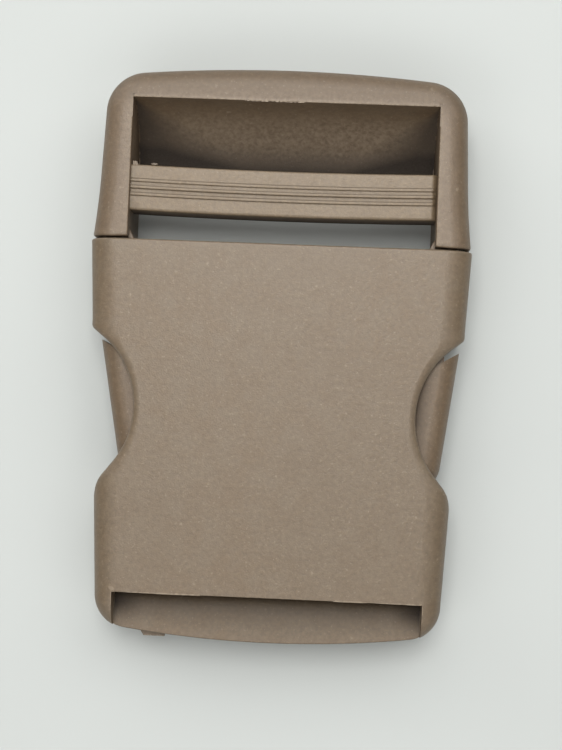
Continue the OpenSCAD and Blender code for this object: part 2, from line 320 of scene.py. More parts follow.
def quarter(gap: np.ndarray, r: float) -> np.ndarray:
    """Inset of a quarter round of radius r at the distance gap from its edge."""
    return r - np.sqrt(np.clip(r * r - np.clip(r - gap, 0, r) ** 2, 0, None))


def mirrored(half: np.ndarray) -> np.ndarray:
    """Rising places from the last of half on the left, through 0, to the last of half on the right."""
    return np.concatenate([-half[::-1], half[1:]])


def carry(x: np.ndarray, y: np.ndarray, z: np.ndarray) -> np.ndarray:
    """Sections of a profile at each x, from Y and Z for one section or for each."""
    return np.stack(np.broadcast_arrays(x[:, None], y, z), axis=2)


def soften(corners: np.ndarray, radii: list[float], count: int = 6) -> np.ndarray:
    """Rounds the corners of closed polygons.

    A corner b with unit directions u and w to its neighbours becomes the arc about b + (u + w) r / (|u + w|
    sin h), where h is half the angle between u and w. The arc runs between the feet of that middle on both
    sides. A corner whose radius is zero stays one point.

    Args:
        corners: Polygons, stations by corners by 2.
        radii: Radius of each corner.
        count: Points on each arc.

    Returns:
        The rounded polygons, stations by points by 2.
    """
    parts = []
    total = corners.shape[1]
    share = np.linspace(0, 1, count)[None, :, None]
    for k, r in enumerate(radii):
        b = corners[:, k]
        if r <= 0:
            parts.append(b[:, None])
            continue
        u = corners[:, k - 1] - b
        w = corners[:, (k + 1) % total] - b
        u /= np.linalg.norm(u, axis=1, keepdims=True)
        w /= np.linalg.norm(w, axis=1, keepdims=True)
        half = np.arccos(np.clip(np.sum(u * w, axis=1, keepdims=True), -1, 1)) / 2
        bisector = (u + w) / np.linalg.norm(u + w, axis=1, keepdims=True)
        mid = b + bisector * r / np.sin(half)
        foot = r / np.tan(half)
        first, last = (b + u * foot - mid)[:, None], (b + w * foot - mid)[:, None]
        sweep = (math.pi - 2 * half)[:, None]
        round_part = np.sin((1 - share) * sweep) * first + np.sin(share * sweep) * last
        parts.append(mid[:, None] + round_part / np.sin(sweep))
    return np.concatenate(parts, axis=1)


def inward(points: np.ndarray) -> np.ndarray:
    """Mitre vectors of a closed outline that runs anticlockwise.

    With unit inward normals n and m of the two edges at a corner, the vector is (n + m) / (1 + n.m), so
    that moving every corner by r times its vector moves every edge inwards by r.

    Args:
        points: Outline, points by 2.

    Returns:
        One vector for each point.
    """
    step = np.roll(points, -1, axis=0) - points
    step /= np.linalg.norm(step, axis=1, keepdims=True)
    normal = np.column_stack([-step[:, 1], step[:, 0]])
    before = np.roll(normal, 1, axis=0)
    return (normal + before) / (1 + np.sum(normal * before, axis=1, keepdims=True))


# Skins


def grid_faces(index: np.ndarray) -> np.ndarray:
    """Four-sided faces between the neighbours in a grid of point numbers."""
    corners = [index[:-1, :-1], index[:-1, 1:], index[1:, 1:], index[1:, :-1]]
    return np.stack(corners, axis=-1).reshape(-1, 4)


@dataclass
class Skin:
    """Closed skin of one piece, gathered as grids and caps of points and welded when it is built."""

    name: str
    points: list[np.ndarray] = field(default_factory=list)
    faces: list[np.ndarray] = field(default_factory=list)
    caps: list[list[int]] = field(default_factory=list)
    # For each point: paling by wear and by painted light, and painted shade.
    wear_and_light: list[np.ndarray] = field(default_factory=list)
    painted_shade: list[np.ndarray] = field(default_factory=list)
    count: int = 0
    weld: float = 0.0005
    sliver: float = 0.0002
    sharp: float = math.radians(32)

    def add_grid(self, grid: np.ndarray, wear_and_light: np.ndarray | float = 0.0, painted_shade: np.ndarray | float = 0.0,
                 ring: bool = False) -> None:
        """Adds a grid of points as four-sided faces.

        Args:
            grid: Points, rows by columns by 3.
            wear_and_light: Paling of the surface by wear and by painted light, 0 to 1, for the whole grid
                or for each point.
            painted_shade: Painted shade that darkens the surface, 0 to 1, for the whole grid or for each
                point.
            ring: Whether the last column joins the first.
        """
        rows, cols = grid.shape[:2]
        index = np.arange(rows * cols).reshape(rows, cols) + self.count
        if ring:
            index = np.concatenate([index, index[:, :1]], axis=1)
        self.points.append(grid.reshape(-1, 3))
        self.wear_and_light.append(np.broadcast_to(np.asarray(wear_and_light, float), (rows, cols)).reshape(-1))
        self.painted_shade.append(np.broadcast_to(np.asarray(painted_shade, float), (rows, cols)).reshape(-1))
        self.faces.append(grid_faces(index))
        self.count += rows * cols

    def add_both(self, grid: np.ndarray, wear_and_light: np.ndarray | float = 0.0) -> None:
        """Adds a grid of points and its mirror image about X = 0, with the same wear and painted light."""
        self.add_grid(grid, wear_and_light)
        self.add_grid(grid * MIRROR, wear_and_light)

    def add_cap(self, loop: np.ndarray) -> None:
        """Closes a flat loop of points with one face.

        Args:
            loop: Points by 3.
        """
        self.points.append(loop)
        self.wear_and_light.append(np.zeros(len(loop)))
        self.painted_shade.append(np.zeros(len(loop)))
        self.caps.append(list(range(self.count, self.count + len(loop))))
        self.count += len(loop)

    def add_loft(self, sections: np.ndarray, wear_and_light: np.ndarray | float = 0.0,
                 painted_shade: np.ndarray | float = 0.0) -> None:
        """Adds closed sections as a tube with a flat cap at each end.

        Args:
            sections: Stations by points by 3.
            wear_and_light: Paling of the surface by wear and by painted light, for the whole tube or for
                each point.
            painted_shade: Painted shade that darkens the surface, for the whole tube or for each point.
        """
        self.add_grid(sections, wear_and_light, painted_shade, ring=True)
        self.add_cap(sections[0])
        self.add_cap(sections[-1])

    def add_plate(self, outline: np.ndarray, edge: tuple[float, float], height: tuple[float, float],
                  levels: int = 4, wear_and_light: float = 0.0) -> None:
        """Adds a plate: an outline carried from back to front, drawn in at both by a quarter circle.

        At the angle a from the wall, a point moves r (1 - cos a) along its mitre vector, and its height is
        r (1 - sin a) short of the face.

        Args:
            outline: Anticlockwise outline, points by 2.
            edge: Radius at the back and at the front.
            height: Height of the back face and of the front face.
            levels: Points on each quarter circle.
            wear_and_light: Wear of the whole plate.
        """
        a = np.linspace(0, math.pi / 2, levels)[:, None]
        (back, front), (low, high) = edge, height
        move = np.concatenate([(back * (1 - np.cos(a)))[::-1], front * (1 - np.cos(a))])
        z = np.concatenate([(low + back * (1 - np.sin(a)))[::-1], high - front * (1 - np.sin(a))])
        plan = outline[None] + move[..., None] * inward(outline)[None]
        self.add_loft(np.concatenate([plan, np.broadcast_to(z, plan.shape[:2])[..., None]], axis=2), wear_and_light)

    def add_hairline(self, path: np.ndarray, width: float, height: float, seed: int, fill: float) -> None:
        """Adds a hairline of flash: a thin flat strip along a path, whose width comes and goes.

        At the share t of the path the width is width times the square root of clip(fill + 1.6 w(t), 0.01,
        1), where w is the mean of nine sines of t with seeded rates and phases.

        Args:
            path: Middle line of the strip, points by 3.
            width: Greatest width.
            height: Thickness of the strip, which is centred on the path.
            seed: Seed of the rates and phases.
            fill: Mean of the squared share of the greatest width.
        """
        rng = np.random.default_rng(seed)
        t = np.linspace(0, 1, len(path))
        rate, phase = rng.uniform(8, 120, 9)[:, None], rng.uniform(0, 2 * math.pi, 9)[:, None]
        wave = np.sin(rate * t[None] + phase).mean(axis=0)
        wide = width * np.sqrt(np.clip(fill + 1.6 * wave, 0.01, 1))
        wide[[0, -1]] = 0.1 * width
        along = np.gradient(path[:, :2], axis=0)
        along /= np.linalg.norm(along, axis=1, keepdims=True)
        across = np.column_stack([-along[:, 1], along[:, 0], np.zeros(len(path))])
        side = np.array([1, 1, -1, -1])[None, :, None] * across[:, None] * wide[:, None, None] / 2
        rise = np.array([[0, 0, -0.5], [0, 0, 0.5], [0, 0, 0.5], [0, 0, -0.5]])[None] * height
        self.add_loft(path[:, None] + side + rise, 1.0)

    def weld_points(self, mesh: bpy.types.Mesh) -> int:
        """Welds the points of the mesh, drops slivers and turns the faces outwards.

        Args:
            mesh: Mesh to weld.

        Returns:
            How many edges don't lie between two faces.
        """
        solid = bmesh.new()
        solid.from_mesh(mesh)
        bmesh.ops.remove_doubles(solid, verts=solid.verts, dist=self.weld * MM)
        bmesh.ops.dissolve_degenerate(solid, edges=solid.edges, dist=self.sliver * MM)
        bmesh.ops.recalc_face_normals(solid, faces=solid.faces)
        loose = sum(1 for edge in solid.edges if len(edge.link_faces) != 2)
        solid.to_mesh(mesh)
        solid.free()
        return loose

    def build(self, material: bpy.types.Material, half: Half) -> None:
        """Makes the object, shades it, hands it to the frame and reports it.

        Args:
            material: Finish of the piece.
            half: Moulding that the piece belongs to.
        """
        mesh = bpy.data.meshes.new(self.name)
        faces = [f for block in self.faces for f in block.tolist()] + self.caps
        mesh.from_pydata((np.concatenate(self.points) * MM).tolist(), [], faces)
        for layer, values in (("wear_and_light", self.wear_and_light), ("painted_shade", self.painted_shade)):
            data = mesh.attributes.new(layer, "FLOAT", "POINT").data
            data.foreach_set("value", np.concatenate(values).astype(np.float32))
        loose = self.weld_points(mesh)
        mesh.shade_smooth()
        mesh.set_sharp_from_angle(angle=self.sharp)
        mesh.materials.append(material)
        piece = bpy.data.objects.new(self.name, mesh)
        bpy.context.scene.collection.objects.link(piece)
        piece.modifiers.new("even normals", "WEIGHTED_NORMAL").keep_sharp = True
        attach(piece, "root")
        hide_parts(half.value)
        log.info("%s: %d faces, %d open edges", self.name, len(mesh.polygons), loose)


def build_piece(name: str, fill: Callable[[Skin], None], material: bpy.types.Material, half: Half) -> None:
    """Makes one piece.

    Args:
        name: Name of the piece.
        fill: Method that adds the piece's patches to a skin.
        material: Finish of the piece.
        half: Moulding that the piece belongs to.
    """
    skin = Skin(name)
    fill(skin)
    skin.build(material, half)


# Socket half


@dataclass
class Strip:
    """Rounded strip of one face of the shell along the outline, with a row for each row of the shell.

    flat is the X where the face starts to round off, start the X of the first column, x the X of all
    columns, depth how far they lie below the face, and drop the height of the rounding at the outline.
    """

    flat: np.ndarray
    start: np.ndarray
    x: np.ndarray
    depth: np.ndarray
    drop: np.ndarray

    def columns(self, slot_half: float, last: np.ndarray) -> np.ndarray:
        """Columns of the flat part of the face, for each row.

        Args:
            slot_half: X of the slot's side.
            last: X of the last column.

        Returns:
            X at 0, halfway, at the slot's side or the flat's end, at the flat's end and at last.
        """
        end = np.minimum(self.flat, last)
        side = np.minimum(slot_half, end)
        return np.stack([0 * side, 0.5 * side, side, end, last], axis=1)


@dataclass
class ShellRows:
    """Rows across X that the shell is made of, by falling Y.

    window holds the Y between which the scallop opens the room inside, mouth_in and slot_in the inset of
    the small roundings at the mouth and at the slot, and w the X of the outline.
    """

    y: np.ndarray
    window: tuple[float, float]
    mouth_in: np.ndarray
    slot_in: np.ndarray
    w: np.ndarray

    def between(self, high: float = math.inf, low: float = -math.inf) -> np.ndarray:
        """Tells which rows run from high down to low, both included."""
        return (self.y <= high + 1e-6) & (self.y >= low - 1e-6)

    def grid(self, x: np.ndarray, z: np.ndarray, keep: np.ndarray) -> np.ndarray:
        """Puts columns at the Y of their rows.

        Args:
            x: X of the columns, rows by columns.
            z: Z of the columns, for each row and column or for each column.
            keep: Which rows to keep.

        Returns:
            Points, rows by columns by 3.
        """
        y = np.broadcast_to(self.y[:, None], x.shape)
        return np.stack([x, y, np.broadcast_to(z, x.shape)], axis=2)[keep]


@dataclass
class SocketHalf:
    """The half that takes the plug: shell, webbing bar, guide rails, gate mark and flash."""

    mouth_y: float = SOCKET_HIGH[1]
    rim_y: float = SOCKET_LOW[1]
    thickness: float = SOCKET_HIGH[2]
    panel: float = 2.0
    rim_half: float = 28.65
    taper: float = math.radians(3.05)
    side_wall: float = 1.7
    slot_half: float = 25.8
    slot_edge_y: float = -40.5
    cross_y: float = -34.15
    cavity_end_y: float = -31.95
    scallop_mid: tuple[float, float] = (38.36, -9.75)
    scallop_r: float = 14.8
    scallop_drop: float = 1.1
    flank_drop: float = 1.85
    upper_flank: float = math.radians(52)
    lower_flank: float = math.radians(39)
    upper_corner_r: float = 1.2
    shoulder_r: float = 6.0
    bow_r: float = 180.0
    corner_r: float = 5.8
    front_r: float = 3.6
    front_w: float = 4.6
    back_r: float = 2.4
    rim_zone_y: float = -30.0
    mouth_edge_r: float = 0.4
    slot_edge_r: float = 0.12
    round_points: int = 14
    bar_w: float = 9.5
    bar_low: float = 1.5
    bar_high: float = 10.0
    bar_r: float = 5.0
    bar_edge_r: float = 0.3
    bar_back_r: float = 1.2
    bar_overlap: float = 0.02
    rail_x: tuple[float, float] = (4.3, 5.9)
    rail_y: tuple[float, float] = (-32.2, 7.75)
    rail_sink: float = 0.2
    gate_x: float = 19.0
    gate_z: tuple[float, float] = (7.0, 8.0)
    gate: Points = ((-20.8, -0.85), (-17.2, -0.85), (-17.0, 0.8), (-21.9, 0.8))
    gate_edge_r: float = 0.15
    gate_line_x: tuple[float, float] = (-20.7, -17.2)
    gate_line_y: float = -0.72
    flash_out: float = 0.06
    flash_sink: float = 0.02
    flash_l: float = 3.2

    def side_x(self, y: np.ndarray | float) -> np.ndarray | float:
        """X of the straight side at the height y of the plan."""
        return self.rim_half + (y - self.rim_y) * math.tan(self.taper)

    def cavity_x(self, y: np.ndarray | float) -> np.ndarray | float:
        """X of the inner face of the side wall at y."""
        return self.side_x(y) - self.side_wall / math.cos(self.taper)

    def corner_mid(self) -> np.ndarray:
        """Middle of the rim corner: corner_r inside the side and the bow about (0, rim_y + bow_r).

        Returns:
            The point.
        """
        out, down = turn(-self.taper), turn(-self.taper - math.pi / 2)
        bow = np.array([0.0, self.rim_y + self.bow_r])
        start = np.array([self.rim_half, self.rim_y]) - self.corner_r * out - bow
        along = start @ down
        reach = math.sqrt(along**2 - start @ start + (self.bow_r - self.corner_r) ** 2) - along
        return bow + start + down * reach

    def flank_mid(self, start: np.ndarray, out: np.ndarray, run: np.ndarray, r: float) -> np.ndarray:
        """Middle of the arc of radius r between a flank and the side.

        Args:
            start: Point where the flank leaves the scallop.
            out: Direction from the flank into the plastic.
            run: Direction of the flank towards the side.
            r: Radius of the arc.

        Returns:
            The point that is r inside the flank and r inside the side.
        """
        normal = turn(-self.taper)
        flank = start + r * out
        side = np.array([self.rim_half, self.rim_y]) - r * normal
        return flank + run * ((side - flank) @ normal) / (run @ normal)

    def outline(self) -> np.ndarray:
        """Right half of the outline, mouth to middle of the rim, as arcs joined by straight lines.

        Returns:
            Points by 2, by falling Y.
        """
        mid = np.array(self.scallop_mid)
        up, low = self.upper_flank, self.lower_flank
        up_out = np.array([-math.cos(up), math.sin(up)])
        up_run = np.array([math.sin(up), math.cos(up)])
        low_out = np.array([-math.cos(low), -math.sin(low)])
        low_run = np.array([math.sin(low), -math.cos(low)])
        upper = self.flank_mid(mid + self.scallop_r * up_out, up_out, up_run, self.upper_corner_r)
        lower = self.flank_mid(mid + self.scallop_r * low_out, low_out, low_run, self.shoulder_r)
        corner = self.corner_mid()
        bow = np.array([0.0, self.rim_y + self.bow_r])
        end = math.atan2(*(corner - bow)[::-1])
        return np.concatenate([
            [[self.side_x(self.mouth_y), self.mouth_y]],
            arc(upper, self.upper_corner_r, -self.taper, -up, 12),
            arc(mid, self.scallop_r, math.pi - up, math.pi + low, 60),
            arc(lower, self.shoulder_r, low, -self.taper, 20),
            arc(corner, self.corner_r, -self.taper, end, 60),
            arc(bow, self.bow_r, end, -math.pi / 2, 40)[1:],
        ])

    def half_width(self, y: np.ndarray) -> np.ndarray:
        """Half width of the outline at y, read between its points."""
        line = self.outline()
        return np.interp(y, line[::-1, 1], line[::-1, 0])

    def distance(self, x: np.ndarray, y: np.ndarray) -> np.ndarray:
        """Distance from the outline near the rim corner.

        Args:
            x: X of the points.
            y: Y of the points.

        Returns:
            corner_r less the distance from the corner's middle where the corner is rounded, else the
            distance from the straight side.
        """
        mid = self.corner_mid()
        down = turn(-self.taper - math.pi / 2)
        straight = (self.side_x(y) - x) * math.cos(self.taper)
        in_corner = (x - mid[0]) * down[0] + (y - mid[1]) * down[1] > 0
        return np.where(in_corner, self.corner_r - np.hypot(x - mid[0], y - mid[1]), straight)

    def flat_x(self, y: np.ndarray) -> np.ndarray:
        """X where the front face starts to round off, as a smooth curve beside the side and the scallop.

        Args:
            y: Places along the side.

        Returns:
            The X at each place. The knots of the curve are places and how far it lies inside the straight
            line.
        """
        side = self.side_x(y) - self.front_w / math.cos(self.taper)
        knots = [(-29.0, 0.0), (-26.5, 0.0), (-24.0, -0.14), (-22.0, -0.45), (-20.0, -1.05), (-18.5, -1.6),
                 (-16.5, -2.4), (-14.5, -3.1), (-12.7, -3.52), (-9.6, -3.78), (-6.9, -3.62), (-5.2, -3.38),
                 (-3.6, -2.95), (-2.0, -2.4), (-1.0, -1.9), (0.5, -1.08), (2.0, -0.46), (3.6, -0.12),
                 (5.5, 0.0), (8.0, 0.0)]
        return side + smooth_curve(y, knots)

    def drop(self, y: np.ndarray, full: float) -> np.ndarray:
        """Height of the rounding at the outline, from full on the sides to scallop_drop in the scallop.

        Args:
            y: Places along the side.
            full: Height on the straight sides.

        Returns:
            The height at each place.
        """
        wall, thin = self.flank_drop, self.scallop_drop
        knots = [(-26.0, full), (-24.3, full), (-22.6, 0.5 * (full + wall)), (-21.0, wall),
                 (-19.0, 0.5 * (wall + thin)), (-16.5, thin), (-2.5, thin), (-0.2, 0.5 * (wall + thin)),
                 (2.2, wall), (3.6, 0.55 * full + 0.45 * wall), (5.2, full), (6.5, full)]
        return smooth_curve(y, knots)

    def in_scallop(self, y: np.ndarray) -> np.ndarray:
        """Share from 0 on the sides to 1 in the scallop."""
        return np.clip(smooth_curve(y, [(-23, 0), (-20, 1), (0, 1), (3, 0)]), 0, 1)

    def crossing(self, low: float, high: float) -> float:
        """Y where the outline crosses the inner face of the side wall, by halving.

        Args:
            low: Y on one side of the crossing.
            high: Y on the other side.

        Returns:
            The Y between them.
        """
        sign = math.copysign(1.0, float(self.half_width(np.array(low)) - self.cavity_x(low)))
        for _ in range(60):
            mid = (low + high) / 2
            if sign * float(self.half_width(np.array(mid)) - self.cavity_x(mid)) > 0:
                low = mid
            else:
                high = mid
        return (low + high) / 2

    def shell_rows(self) -> ShellRows:
        """Chooses the rows: close together in the roundings, along the scallop and round the rim corner.

        Returns:
            The rows, which end where the rim's outline meets the side of the slot.
        """
        line = self.outline()
        upper, lower = self.crossing(0.0, 3.4), self.crossing(-19.5, -24.0)
        corner = line[(line[:, 1] < self.slot_edge_y) & (line[:, 0] > self.slot_half)][:, 1]
        end_y = float(np.interp(self.slot_half, line[::-1, 0], line[::-1, 1]))
        rise = 1 - np.sin(np.linspace(math.pi / 2, 0, 6))
        scallop = line[(line[:, 1] < 6) & (line[:, 1] > -27)][:, 1]
        y = np.concatenate([self.mouth_y - self.mouth_edge_r * rise, np.linspace(17, 5, 9), scallop,
                            np.linspace(3.4, 0.5, 10), [upper, lower], np.linspace(-24.5, -33, 6),
                            [self.cavity_end_y, self.cross_y], np.linspace(-36, -39.5, 4),
                            self.slot_edge_y + self.slot_edge_r * rise, corner, [end_y]])
        y = np.unique(np.round(y, 6))[::-1]
        for exact in (upper, lower):
            y[np.argmin(np.abs(y - exact))] = exact
        y[-1] = end_y
        mouth_in = quarter(self.mouth_y - y, self.mouth_edge_r)
        slot_in = np.where(y >= self.slot_edge_y - 1e-6, quarter(y - self.slot_edge_y, self.slot_edge_r), 0)
        w = self.half_width(y)
        w[-1] = self.slot_half
        return ShellRows(y, (upper, lower), mouth_in, slot_in, w - mouth_in)

    def strip(self, rows: ShellRows, height: float, width: float, inset: np.ndarray | float) -> Strip:
        """Works out the rounded strip of one face.

        In a row it falls by h (1 - sqrt(1 - u^2)), where u runs from 0 where the face starts to round off
        to 1 at the outline, and h is the row's drop. Near the rim corner u is 1 - d / width, with d the
        true distance from the outline.

        Args:
            rows: Rows of the shell.
            height: Height of the rounding on the sides.
            width: Width of the rounding on the sides.
            inset: How much nearer to the outline than flat_x the face starts to round off, for each row.

        Returns:
            The strip.
        """
        near_rim = rows.y < self.rim_zone_y
        flat = np.minimum(np.minimum(self.flat_x(rows.y), rows.w) - rows.mouth_in + inset, rows.w)
        start = np.minimum(np.where(near_rim, np.maximum(flat, self.slot_half), flat), rows.w)
        across = np.sin(np.linspace(0, math.pi / 2, self.round_points))
        x = start[:, None] + (rows.w - start)[:, None] * across[None]
        u = np.clip((x - flat[:, None]) / np.maximum(rows.w - flat, 1e-9)[:, None], 0, 1)
        true = np.clip(1 - self.distance(x, np.broadcast_to(rows.y[:, None], x.shape)) / width, 0, 1)
        u = np.where(near_rim[:, None], true, u)
        u[:, -1] = 1.0
        u[-1] = 1.0
        h, rise = self.drop(rows.y, height), rows.mouth_in[:, None]
        return Strip(flat, start, x, rise + (h[:, None] - rise) * (1 - np.sqrt(1 - u * u)), h)

    def add_faces(self, skin: Skin, rows: ShellRows, front: Strip,
                  back: Strip) -> tuple[np.ndarray, np.ndarray]:
        """Adds the flat parts and the rounded strips of both faces, and the cheeks' back beside the slot.

        Args:
            skin: Skin that takes the patches.
            rows: Rows of the shell.
            front: Rounded strip of the front.
            back: Rounded strip of the back.

        Returns:
            The points of the flat part of the front and of the back.
        """
        everywhere = rows.between()
        mouth_wear = np.clip(rows.mouth_in / self.mouth_edge_r, 0, 1)
        edge_wear = mouth_wear + np.clip(rows.slot_in / self.slot_edge_r, 0, 1)
        whole = rows.between(low=self.slot_edge_y)
        cols = np.concatenate([front.columns(self.slot_half, front.start), front.start[:, None]], axis=1)
        face_z = self.thickness - rows.mouth_in - rows.slot_in
        start_z = self.thickness - front.depth[:, 0]
        z = np.column_stack([face_z, face_z, face_z, face_z, np.minimum(face_z, start_z), start_z])
        front_face = rows.grid(cols, z, whole)
        skin.add_both(front_face, 0.35 * edge_wear[whole][:, None])
        tip = np.linspace(0, 1, self.round_points) ** 4
        wear_and_light = 0.35 * mouth_wear[:, None] + 0.25 * self.in_scallop(rows.y)[:, None] * tip[None]
        skin.add_both(rows.grid(front.x, self.thickness - front.depth, everywhere), np.clip(wear_and_light, 0, 1))

        cols = back.columns(self.slot_half, back.start)
        back_face = rows.grid(cols, rows.mouth_in[:, None], rows.between(low=self.cross_y))
        skin.add_both(back_face)
        skin.add_both(rows.grid(back.x, back.depth, everywhere))
        beside = np.where(back.start > self.slot_half + 1e-6, 0.0, back.depth[:, 0])
        cols = np.column_stack([np.full(len(rows.y), self.slot_half), back.start])
        z = np.column_stack([beside, back.depth[:, 0]])
        skin.add_both(rows.grid(cols, z, rows.between(self.cross_y)))
        return front_face, back_face

    def add_walls(self, skin: Skin, rows: ShellRows, front: Strip, back: Strip) -> None:
        """Adds the sides, which the scallop opens between the two panels.

        Args:
            skin: Skin that takes the patches.
            rows: Rows of the shell.
            front: Rounded strip of the front.
            back: Rounded strip of the back.
        """
        over, under = self.thickness - front.drop, back.drop
        inner_over = np.minimum(self.thickness - self.panel, over)
        z = np.column_stack([over, inner_over, np.maximum(self.panel, under), under])
        z[-1] = [over[-1], over[-1], under[-1], under[-1]]
        x = np.repeat(rows.w[:, None], 4, axis=1)
        upper, lower = rows.window
        for keep in (rows.between(low=upper), rows.between(lower)):
            skin.add_both(rows.grid(x, z, keep))
        window = rows.between(upper, lower)
        skin.add_both(rows.grid(x[:, :2], z[:, :2], window), 0.3 * self.in_scallop(rows.y)[window][:, None])
        skin.add_both(rows.grid(x[:, 2:], z[:, 2:], window))

    def add_room(self, skin: Skin, rows: ShellRows, front: Strip, back: Strip) -> None:
        """Adds the inside: the panels' inner faces, the side walls' inner faces and the end wall.

        Args:
            skin: Skin that takes the patches.
            rows: Rows of the shell.
            front: Rounded strip of the front.
            back: Rounded strip of the back.
        """
        high, low = self.thickness - self.panel, self.panel
        upper, lower = rows.window
        room = rows.between(low=self.cavity_end_y)
        wall_x = self.cavity_x(rows.y)
        reach = np.where(rows.between(upper, lower), rows.w, wall_x)
        over = rows.grid(front.columns(self.slot_half, reach), np.array(high), room)
        under = rows.grid(back.columns(self.slot_half, reach), np.array(low), room)
        skin.add_both(over)
        skin.add_both(under)
        for keep in (rows.between(low=upper), rows.between(lower, self.cavity_end_y)):
            skin.add_both(rows.grid(np.column_stack([wall_x, wall_x]), np.array([high, low]), keep))
        skin.add_both(np.stack([over[-1], under[-1]]))

    def add_slot(self, skin: Skin, rows: ShellRows, front: Strip, back: Strip, edge: np.ndarray) -> None:
        """Adds the passage behind the slot: roof, cross wall, slot's edge and the cheeks' inner faces.

        Args:
            skin: Skin that takes the patches.
            rows: Rows of the shell.
            front: Rounded strip of the front.
            back: Rounded strip of the back.
            edge: Points of the front along the slot's edge, up to the slot's side.
        """
        high, count = self.thickness - self.panel, len(rows.y)
        passage = rows.between(self.cross_y, self.slot_edge_y)
        cols = front.columns(self.slot_half, np.full(count, self.slot_half))
        roof = rows.grid(cols, np.array(high), passage)
        skin.add_both(roof)
        foot = np.zeros_like(roof[0])
        foot[:, 0] = np.array([0, 0.5, 1, 1, 1]) * self.slot_half
        foot[:, 1] = self.cross_y
        skin.add_both(np.stack([roof[0], foot]))
        skin.add_both(np.stack([edge, roof[-1]]), 0.3)
        low = np.where(back.start > self.slot_half + 1e-6, 0.0, back.depth[:, 0])
        face = self.thickness - front.depth[:, 0]
        x = np.full((count, 4), self.slot_half)
        covered = np.column_stack([low] + 3 * [np.full(count, high)])
        skin.add_both(rows.grid(x, covered, passage))
        edge_z = np.minimum(self.thickness - self.slot_edge_r, face)
        bare = np.column_stack([low, np.minimum(high, face), edge_z, face])
        skin.add_both(rows.grid(x, bare, rows.between(self.slot_edge_y)))

    def add_mouth(self, skin: Skin, rows: ShellRows, outer: np.ndarray) -> None:
        """Adds the ring at the mouth, between the outer edge and the edge of the room inside.

        Args:
            skin: Skin that takes the patch.
            rows: Rows of the shell.
            outer: Right half of the outer edge, from the middle of the front to the middle of the back.
        """
        high, low, n = self.thickness - self.panel, self.panel, self.round_points
        inner = outer.copy()
        inner[:4 + n, 2], inner[4 + n:, 2] = high, low
        inner[4:4 + 2 * n, 0] = self.cavity_x(rows.y[0])
        skin.add_both(np.stack([outer, inner]), 0.25)

    def shell(self, skin: Skin) -> None:
        """Adds the shell as rows across X, one for each Y.

        Args:
            skin: Skin that takes the patches.
        """
        rows = self.shell_rows()
        front = self.strip(rows, self.front_r, self.front_w, 0.0)
        wider = smooth_curve(rows.y, [(-27, 1), (-25, 1), (-20, 0), (0.5, 0), (5, 1), (8, 1)])
        back = self.strip(rows, self.back_r, self.back_r, (self.front_w - self.back_r) * wider)
        front_face, back_face = self.add_faces(skin, rows, front, back)
        self.add_walls(skin, rows, front, back)
        self.add_room(skin, rows, front, back)
        self.add_slot(skin, rows, front, back, front_face[-1][:5])
        first = rows.y == rows.y[0]
        front_edge = rows.grid(front.x, self.thickness - front.depth, first)[0]
        back_edge = rows.grid(back.x, back.depth, first)[0]
        self.add_mouth(skin, rows, np.concatenate([front_face[0][:4], front_edge, back_edge[::-1],
                                                   back_face[0][:4][::-1]]))

    def rim_bar(self, skin: Skin) -> None:
        """Adds the webbing bar: a four-cornered section with rounded corners, carried along X.

        Its outer side follows the outline, Y = outline(X), and its inner side is straight. It gets painted
        shade under the panel's edge and towards the slot's ends.

        Args:
            skin: Skin that takes the bar.
        """
        line = self.outline()
        line = line[line[:, 1] < self.slot_edge_y]
        last = self.slot_half + self.bar_overlap
        x = mirrored(np.unique(np.concatenate([line[line[:, 0] < self.slot_half, 0], [last]])))
        outer = np.interp(np.abs(x), line[::-1, 0], line[::-1, 1])
        inner = np.full(len(x), self.rim_y + self.bar_w)
        low, high = np.full(len(x), self.bar_low), np.full(len(x), self.bar_high)
        corners = np.stack([outer, low, inner, low, inner, high, outer, high], axis=1).reshape(-1, 4, 2)
        section = soften(corners, [self.bar_edge_r, self.bar_back_r, self.bar_r, self.bar_edge_r], 12)
        y = section[..., 0]
        # Painted shade under the panel's edge over the slot, and towards both ends of the slot.
        under = smooth_curve(y, [(-47.2, 0), (-46.4, 0.02), (-45, 0.2), (-43.6, 0.46), (-42.6, 0.5),
                                 (-41.8, 0.3), (-41, 0.05), (-40, 0)])
        at_end = np.clip((np.abs(x)[:, None] - 20.8) / 5, 0, 1)
        corner = at_end * np.clip((y - self.slot_edge_y + 5.5) / 4, 0, 1)
        skin.add_loft(carry(x, y, section[..., 1]), 0.0, np.clip(under + 0.6 * corner, 0, 1))

    def rails(self, skin: Skin) -> None:
        """Adds the two guide rails beside the tongue, as plates that reach into both panels.

        Args:
            skin: Skin that takes the rails.
        """
        height = (self.panel - self.rail_sink, self.thickness - self.panel + self.rail_sink)
        low, high = self.rail_y
        for side in (-1, 1):
            left, right = sorted(side * x for x in self.rail_x)
            outline = np.array([[left, low], [right, low], [right, high], [left, high]])
            skin.add_plate(outline, (0.0, 0.0), height, 2)

    def gate_mark(self, skin: Skin) -> None:
        """Adds the stub of plastic left where the mould was filled, with a worn line along its edge.

        Args:
            skin: Skin that takes the stub.
        """
        rim = self.rim_y + self.bow_r - math.sqrt(self.bow_r**2 - self.gate_x**2)
        edge_r = (self.gate_edge_r, self.gate_edge_r)
        skin.add_plate(np.array(self.gate) + [0, rim], edge_r, self.gate_z)
        count = 40
        x = np.linspace(*self.gate_line_x, count)
        line = np.column_stack([x, np.full(count, rim + self.gate_line_y), np.full(count, self.gate_z[1])])
        skin.add_hairline(line, 0.24, 0.08, 5, 0.8)

